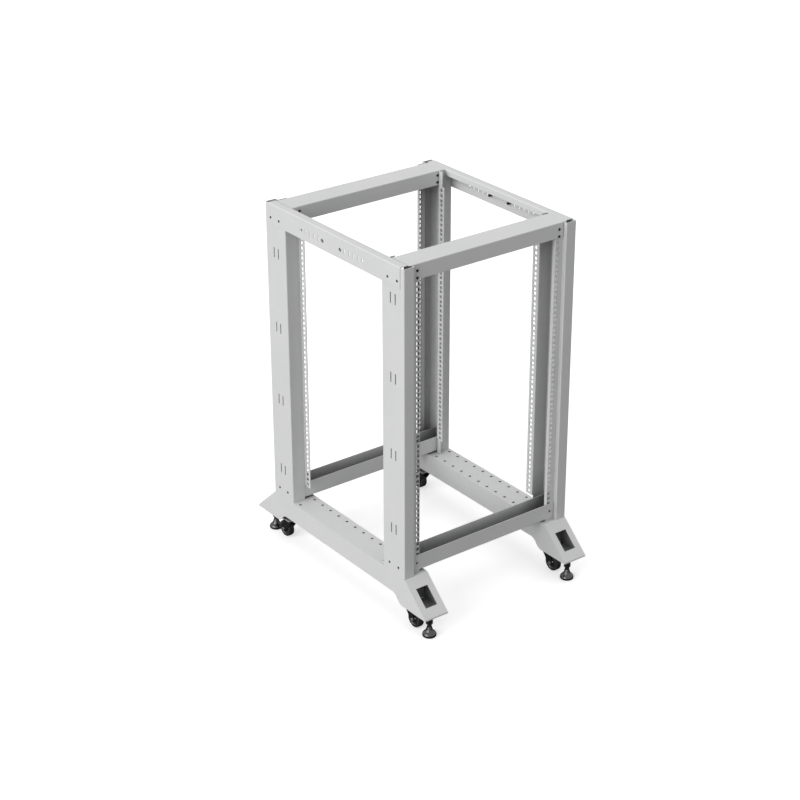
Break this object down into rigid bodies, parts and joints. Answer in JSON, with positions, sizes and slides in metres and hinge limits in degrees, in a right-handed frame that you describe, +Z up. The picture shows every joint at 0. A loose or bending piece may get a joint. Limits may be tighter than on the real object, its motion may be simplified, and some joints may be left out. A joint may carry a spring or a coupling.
{
  "type": "four post open frame rack",
  "caption": "Open frame rack with four perforated posts, beams on top, base rails with sloped feet, levelling feet and swivel casters.",
  "frame": {"origin": "on the floor under the centre of the rack", "axes": "+Z up, +Y towards the back, +X to the right seen from the front"},
  "size_m": [0.575, 0.808, 1.0576],
  "materials": {
    "frame_paint": "light grey powder coat, fine texture",
    "black_foot": "black moulded, slight gloss",
    "caster_steel": "black coated pressed steel",
    "caster_wheel": "black moulded wheel"
  },
  "bodies": {
    "frame": {"post_front_left": "frame_paint", "post_front_right": "frame_paint", "post_back_left": "frame_paint", "post_back_right": "frame_paint", "top_beam_front": "frame_paint", "top_beam_back": "frame_paint", "top_beam_left": "frame_paint", "top_beam_right": "frame_paint", "bottom_beam_front": "frame_paint", "bottom_beam_back": "frame_paint", "base_rail_left": "frame_paint", "base_rail_right": "frame_paint", "foot_plate_front_left": "frame_paint", "caster_plate_front_left": "caster_steel", "foot_plate_front_right": "frame_paint", "caster_plate_front_right": "caster_steel", "foot_plate_back_left": "frame_paint", "caster_plate_back_left": "caster_steel", "foot_plate_back_right": "frame_paint", "caster_plate_back_right": "caster_steel"},
    "leveler_front_left": {"leveler_foot_front_left": "black_foot"},
    "fork_front_left": {"caster_fork_front_left": "caster_steel"},
    "wheel_front_left": {"caster_wheel_front_left": "caster_wheel"},
    "leveler_front_right": {"leveler_foot_front_right": "black_foot"},
    "fork_front_right": {"caster_fork_front_right": "caster_steel"},
    "wheel_front_right": {"caster_wheel_front_right": "caster_wheel"},
    "leveler_back_left": {"leveler_foot_back_left": "black_foot"},
    "fork_back_left": {"caster_fork_back_left": "caster_steel"},
    "wheel_back_left": {"caster_wheel_back_left": "caster_wheel"},
    "leveler_back_right": {"leveler_foot_back_right": "black_foot"},
    "fork_back_right": {"caster_fork_back_right": "caster_steel"},
    "wheel_back_right": {"caster_wheel_back_right": "caster_wheel"}
  },
  "joints": [
    {"name": "leveler_height_front_left", "type": "slide", "parent": "frame", "child": "leveler_front_left", "axis": [0, 0, 1], "range_m": [-0.006, 0.006]},
    {"name": "caster_swivel_front_left", "type": "hinge", "parent": "frame", "child": "fork_front_left", "pos_m": [-0.2475, -0.291, 0.06], "axis": [0, 0, 1], "continuous": true},
    {"name": "wheel_spin_front_left", "type": "hinge", "parent": "fork_front_left", "child": "wheel_front_left", "pos_m": [-0.2475, -0.313, 0.0255], "axis": [1, 0, 0], "continuous": true},
    {"name": "leveler_height_front_right", "type": "slide", "parent": "frame", "child": "leveler_front_right", "axis": [0, 0, 1], "range_m": [-0.006, 0.006]},
    {"name": "caster_swivel_front_right", "type": "hinge", "parent": "frame", "child": "fork_front_right", "pos_m": [0.2475, -0.291, 0.06], "axis": [0, 0, 1], "continuous": true},
    {"name": "wheel_spin_front_right", "type": "hinge", "parent": "fork_front_right", "child": "wheel_front_right", "pos_m": [0.2475, -0.313, 0.0255], "axis": [1, 0, 0], "continuous": true},
    {"name": "leveler_height_back_left", "type": "slide", "parent": "frame", "child": "leveler_back_left", "axis": [0, 0, 1], "range_m": [-0.006, 0.006]},
    {"name": "caster_swivel_back_left", "type": "hinge", "parent": "frame", "child": "fork_back_left", "pos_m": [-0.2475, 0.291, 0.06], "axis": [0, 0, 1], "continuous": true},
    {"name": "wheel_spin_back_left", "type": "hinge", "parent": "fork_back_left", "child": "wheel_back_left", "pos_m": [-0.2475, 0.313, 0.0255], "axis": [1, 0, 0], "continuous": true},
    {"name": "leveler_height_back_right", "type": "slide", "parent": "frame", "child": "leveler_back_right", "axis": [0, 0, 1], "range_m": [-0.006, 0.006]},
    {"name": "caster_swivel_back_right", "type": "hinge", "parent": "frame", "child": "fork_back_right", "pos_m": [0.2475, 0.291, 0.06], "axis": [0, 0, 1], "continuous": true},
    {"name": "wheel_spin_back_right", "type": "hinge", "parent": "fork_back_right", "child": "wheel_back_right", "pos_m": [0.2475, 0.313, 0.0255], "axis": [1, 0, 0], "continuous": true}
  ]
}
